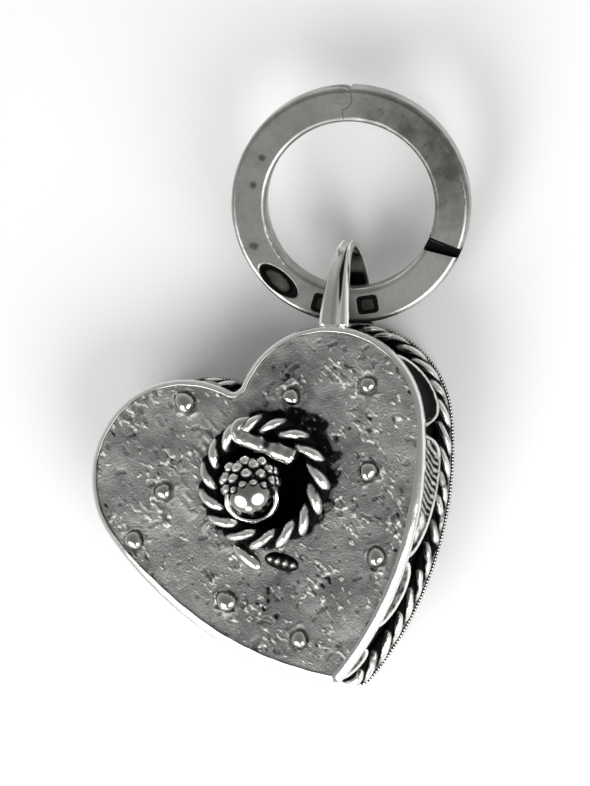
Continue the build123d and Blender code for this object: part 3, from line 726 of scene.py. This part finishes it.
# Bridge bar: a twig across the well whose left end bends up into a horn on the wire. Its path runs straight
# from point to point, then each place is averaged with its neighbours; its radius runs from value to value.
bar = {
    "path": np.array([(2.42, 0.62, 6.42), (0.92, 1.84, 6.5), (-0.36, 2.92, 6.72), (-0.5, 3.4, 6.9),
                      (-0.12, 3.74, 6.92), (0.55, 3.86, 6.72)]),
    "radius": np.array([0.62, 0.5, 0.52, 0.44, 0.31, 0.14]), "places": 90, "around": 28, "roundings": 24,
    "waist": 0.05, "waistAt": 0.37, "waistReach": 0.06, "waver": 0.03, "waverRate": 31, "endPower": 14,
    "endLeast": 0.0006, "wear": 0.55, "sideWear": 0.25, "waistWear": 0.35, "patchWear": 0.06, "patchRate": 47,
}
reach = np.concatenate([[0], np.cumsum(np.linalg.norm(np.diff(bar["path"], axis=0), axis=1))])
s = np.linspace(0, 1, bar["places"])
path = np.stack([np.interp(s * reach[-1], reach, bar["path"][:, k]) for k in range(3)], 1)
for rounding in range(bar["roundings"]):
    path[1:-1] = 0.25 * path[:-2] + 0.5 * path[1:-1] + 0.25 * path[2:]
waist = bell(s - bar["waistAt"], bar["waistReach"])
thick = np.interp(s * reach[-1], reach, bar["radius"]) - bar["waist"] * waist
thick = thick + bar["waver"] * np.sin(bar["waverRate"] * s)
thick = thick * np.sqrt(np.clip(1 - np.abs(2 * s - 1) ** bar["endPower"], bar["endLeast"], 1))
tube = tubeRound(path, np.broadcast_to(upright, path.shape), thick[:, None], bar["around"], closed=False)
turn = turnsRound(bar["around"])[None]
# painted highlight and shade: the bar is brighter on the side facing the lamp at the lower left, darker on
# the side away from it
barWearAndHighlight = bar["wear"] - bar["sideWear"] * np.cos(turn) - bar["waistWear"] * waist[:, None] * np.sin(turn)
barWearAndHighlight = barWearAndHighlight + bar["patchWear"] * np.sin(bar["patchRate"] * s)[:, None]
addPiece("bridgeBar", [cappedRod(tube, barWearAndHighlight)], "heart", polished, ["well_bar"])

# Leaves: pointed lumps by the well's wire, one with a sharp crest, one with a row of dots. Their rise is the
# sine of the turn to a power over the leaf and a shallow sine under it.
leaf = {
    "leaves": [
        {"place": (-2.63, -3.74), "turned": 120.0, "dots": 0, "rise": 1.0, "sharpness": 1.6, "wear": 0.3,
         "crestWear": 0.5},
        {"place": (-0.7, -4.74), "turned": 145.0, "dots": 4, "rise": 0.5, "sharpness": 0.9, "wear": -0.1,
         "crestWear": 0.1}],
    "length": 2.2, "width": 1.0, "height": 0.36, "under": 0.1, "level": 5.82, "pointPower": 2.4, "along": 61,
    "around": 40, "fullLength": 0.999, "dotRise": 0.24, "dotPitch": 0.5, "dotReach": 0.15, "dotBand": 0.4,
    "dotWear": 0.9, "leastWear": -0.1,
}
s = np.linspace(-leaf["fullLength"], leaf["fullLength"], leaf["along"])[:, None]
turn = turnsRound(leaf["around"])[None]
above = np.clip(np.sin(turn), 0, 1)
girth = np.sqrt(1 - np.abs(s) ** leaf["pointPower"])
along = leaf["length"] / 2 * s
leaves = []
for one in leaf["leaves"]:
    way, side = heading(one["turned"]), heading(one["turned"] - 90)
    dotPlaces = [(number - (one["dots"] - 1) / 2) * leaf["dotPitch"] for number in range(one["dots"])]
    dotted = sum(hump(along, leaf["dotBand"] * np.cos(turn), at, 0.0, leaf["dotReach"]) for at in dotPlaces)
    across = leaf["width"] / 2 * girth * np.cos(turn)
    crest = leaf["height"] * above ** one["sharpness"]
    rise = np.where(above > 0, crest, leaf["under"] * np.sin(turn)) * girth
    rise = rise * one["rise"] + leaf["dotRise"] * dotted * (above > 0) * girth
    centre = np.array([*one["place"], leaf["level"]])
    grid = centre + across[..., None] * side + (along + 0 * turn)[..., None] * way + rise[..., None] * upright
    wear = one["wear"] + one["crestWear"] * above**3 + leaf["dotWear"] * dotted
    leaves.append(cappedRod(grid, np.clip(wear, leaf["leastWear"], 1)))
addPiece("wellLeaves", leaves, "heart", polished, ["well_leaves"])
print("bar and leaves made")

# Bail: a tapered strap arched front to back over the ring. Its outer face falls by a squared cosine into a
# hollow and by a square past its two rims, and its inner corners are quarter rounds.
bail = {
    "root": 5.4, "reach": 10.95, "depth": 5.7, "sheet": 0.45, "footWidth": 1.85, "topWidth": 0.75,
    "bulge": 1.7, "frontEnd": 85.8, "rearEnd": 83.3, "places": 90, "across": 45, "cornerSteps": 7,
    "cornerRound": 0.22, "hollow": 0.22, "rimAt": 0.66, "rimDrop": 0.28, "channelEdge": 0.25,
    "channelWear": 0.4, "creaseAt": 0.42, "crease": 0.1, "creaseMore": 0.16, "creaseWidest": 48.0,
    "creaseSpread": 9.0, "creaseWear": 1.5, "creaseStart": (16, 28), "creaseStop": (74, 58),
    "innerWear": 0.95, "rearFootShade": 1.5, "rearFrom": (-40, -48), "rearBand": 0.4,
}
bailWay, bailSide = heading(ring["bailAngle"]), heading(ring["bailAngle"] - 90)
arch = np.linspace(-math.radians(bail["rearEnd"]), math.radians(bail["frontEnd"]), bail["places"])
reachMid = bail["reach"] - bail["root"] - bail["sheet"] / 2
depthMid = bail["depth"] / 2 - bail["sheet"] / 2
away = bail["root"] + reachMid * np.cos(arch)
archLevel = ring["swingLevel"] + depthMid * np.sin(arch)
path = np.array([*lobeCentre, 0]) + np.outer(away, bailWay) + np.outer(archLevel, upright)
archNormal = unit(np.outer(np.cos(arch) / reachMid, bailWay) + np.outer(np.sin(arch) / depthMid, upright))
share = ((away - bail["root"]) / (bail["reach"] - bail["root"])) ** bail["bulge"]
width = bail["footWidth"] * (1 - share) + bail["topWidth"] * share
quarter = np.linspace(0, math.pi / 2, bail["cornerSteps"])
cornerAcross = bail["cornerRound"] * (1 - np.cos(quarter)) - 0.5
cornerLift = bail["cornerRound"] * (1 - np.sin(quarter)) - 0.5
innerAcross = np.concatenate([cornerAcross, -cornerAcross[::-1]])
innerLift = np.concatenate([cornerLift, cornerLift[::-1]])
u = np.linspace(1, -1, bail["across"])
hollow = bail["hollow"] * np.cos(0.5 * math.pi * np.clip(np.abs(u) / bail["rimAt"], 0, 1)) ** 2
pastRim = np.clip((np.abs(u) - bail["rimAt"]) / (1 - bail["rimAt"]), 0, 1)
across = np.concatenate([innerAcross, u / 2])
lift = np.concatenate([bail["sheet"] * innerLift, bail["sheet"] / 2 - hollow - bail["rimDrop"] * pastRim**2])
grid = path[:, None] + (width[:, None] * across)[..., None] * bailSide
grid = grid + lift[None, :, None] * archNormal[:, None]
up = np.degrees(arch)[:, None]
channel = smoothStep(bail["rimAt"], bail["rimAt"] - bail["channelEdge"], np.abs(u))[None]
creaseWidth = bail["crease"] + bail["creaseMore"] * bell(up - bail["creaseWidest"], bail["creaseSpread"])
crease = bell(u - bail["creaseAt"], creaseWidth) * channel
crease = crease * smoothStep(*bail["creaseStart"], up) * smoothStep(*bail["creaseStop"], up)
outerWear = 1.0 - bail["channelWear"] * channel - bail["creaseWear"] * crease
rearFootShade = smoothStep(*bail["rearFrom"], up) * bell(innerAcross, bail["rearBand"])  # painted shade by the rear foot, between bail, ring and heart
bailWear = np.concatenate([bail["innerWear"] - bail["rearFootShade"] * rearFootShade, outerWear], 1)
addPiece("bail", [cappedRod(grid, bailWear)], "heart", polished, ["bail"])
print("bail made")

# Nodes kept as they are, with their finish
finishes = {"ring_body": ringMetal, "ring_gate": ringMetal, "gate_pin": ringMetal, "back_plate": sanded,
            "side_wall": blackened, "well_cup": blackened, "bud_stem": blackened}
for name, finish in finishes.items():
    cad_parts[name].data.materials.clear()
    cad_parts[name].data.materials.append(finish)
print("kept nodes finished")

# White table and a room that is white round its foot and grey overhead; the table's sizes are in metres
studio = {"floorColor": "#FAFAFA", "floorRoughness": 0.8, "floorReach": 2.0, "floorLevel": -2e-5,
          "overhead": 0.28, "foot": 0.8, "falloff": 1.6}
floorCorners = [(x * studio["floorReach"], y * studio["floorReach"], studio["floorLevel"])
                for x, y in ((-1, -1), (1, -1), (1, 1), (-1, 1))]
floorMesh = bpy.data.meshes.new("table")
floorMesh.from_pydata(floorCorners, [], [(0, 1, 2, 3)])
floor = addObject("table", floorMesh)
paper = bpy.data.materials.new("white_paper")
paper.use_nodes = True
paperShader = paper.node_tree.nodes["Principled BSDF"]
paperShader.inputs["Base Color"].default_value = hexColor(studio["floorColor"])
paperShader.inputs["Roughness"].default_value = studio["floorRoughness"]
floorMesh.materials.append(paper)

world = bpy.data.worlds.new("room")
scene.world = world
world.use_nodes = True
sky = world.node_tree
direction = addNode(sky, "TexCoord").outputs["Generated"]
rise = addNode(sky, "SeparateXYZ", links={"Vector": direction})
low = addNode(sky, "Math", {"operation": "SUBTRACT", "use_clamp": True}, {0: 1.0}, {1: rise.outputs["Z"]})
low = addNode(sky, "Math", {"operation": "POWER"}, {1: studio["falloff"]}, {0: low})
glow = addNode(sky, "MapRange", values={"To Min": studio["overhead"], "To Max": studio["foot"]},
               links={"Value": low})
sky.links.new(glow.outputs[0], sky.nodes["Background"].inputs["Color"])

# Camera: tilt from overhead and turn of the picture in degrees, aim and distance in millimetres
camera = {"tilt": 17.3, "spin": 19.6, "aim": (3.45, 4.33, 6.0), "distance": 700.0, "pixelsPerMm": 17.0,
          "frameHeight": 786, "sensor": 36.0, "nearest": 0.01, "farthest": 10.0}
aim = np.array(camera["aim"])


# Puts an object at a point in millimetres, its back along one direction and its top along another
def placeFacing(item, point, back, top):
    back = unit(np.array(back, float))
    right = unit(np.cross(top, back))
    top = np.cross(back, right)
    turn = np.eye(4)
    turn[:3] = np.stack([right, top, back, np.array(point) * mm], 1)
    item.matrix_world = Matrix(turn.tolist())


# Soft lamps: picture direction, height angle, distance, width in millimetres and watts
softLamps = [(236, 37, 300, 230, 0.62), (-45, 35, 300, 230, 0.62), (-95, 16, 320, 110, 0.1)]
for number, (side, up, distance, size, watts) in enumerate(softLamps):
    way = math.cos(math.radians(up)) * heading(side - camera["spin"]) + math.sin(math.radians(up)) * upright
    lamp = bpy.data.lights.new(f"softLamp{number}", "AREA")
    lamp.shape = "DISK"
    lamp.size, lamp.energy = size * mm, watts
    box = addObject(f"softLamp{number}", lamp)
    box.visible_camera = False
    placeFacing(box, aim + distance * way, way, upright)

lens = bpy.data.cameras.new("camera")
lens.sensor_width = camera["sensor"]
lens.lens = camera["sensor"] * camera["distance"] * camera["pixelsPerMm"] / camera["frameHeight"]
lens.clip_start, lens.clip_end = camera["nearest"], camera["farthest"]
eye = addObject("camera", lens)
tilt = math.radians(camera["tilt"])
back = math.sin(tilt) * heading(-camera["spin"]) + math.cos(tilt) * upright
placeFacing(eye, aim + camera["distance"] * back, back, heading(90 - camera["spin"]))
scene.camera = eye
scene.view_settings.view_transform = "Standard"
print("stage, lights and camera set")
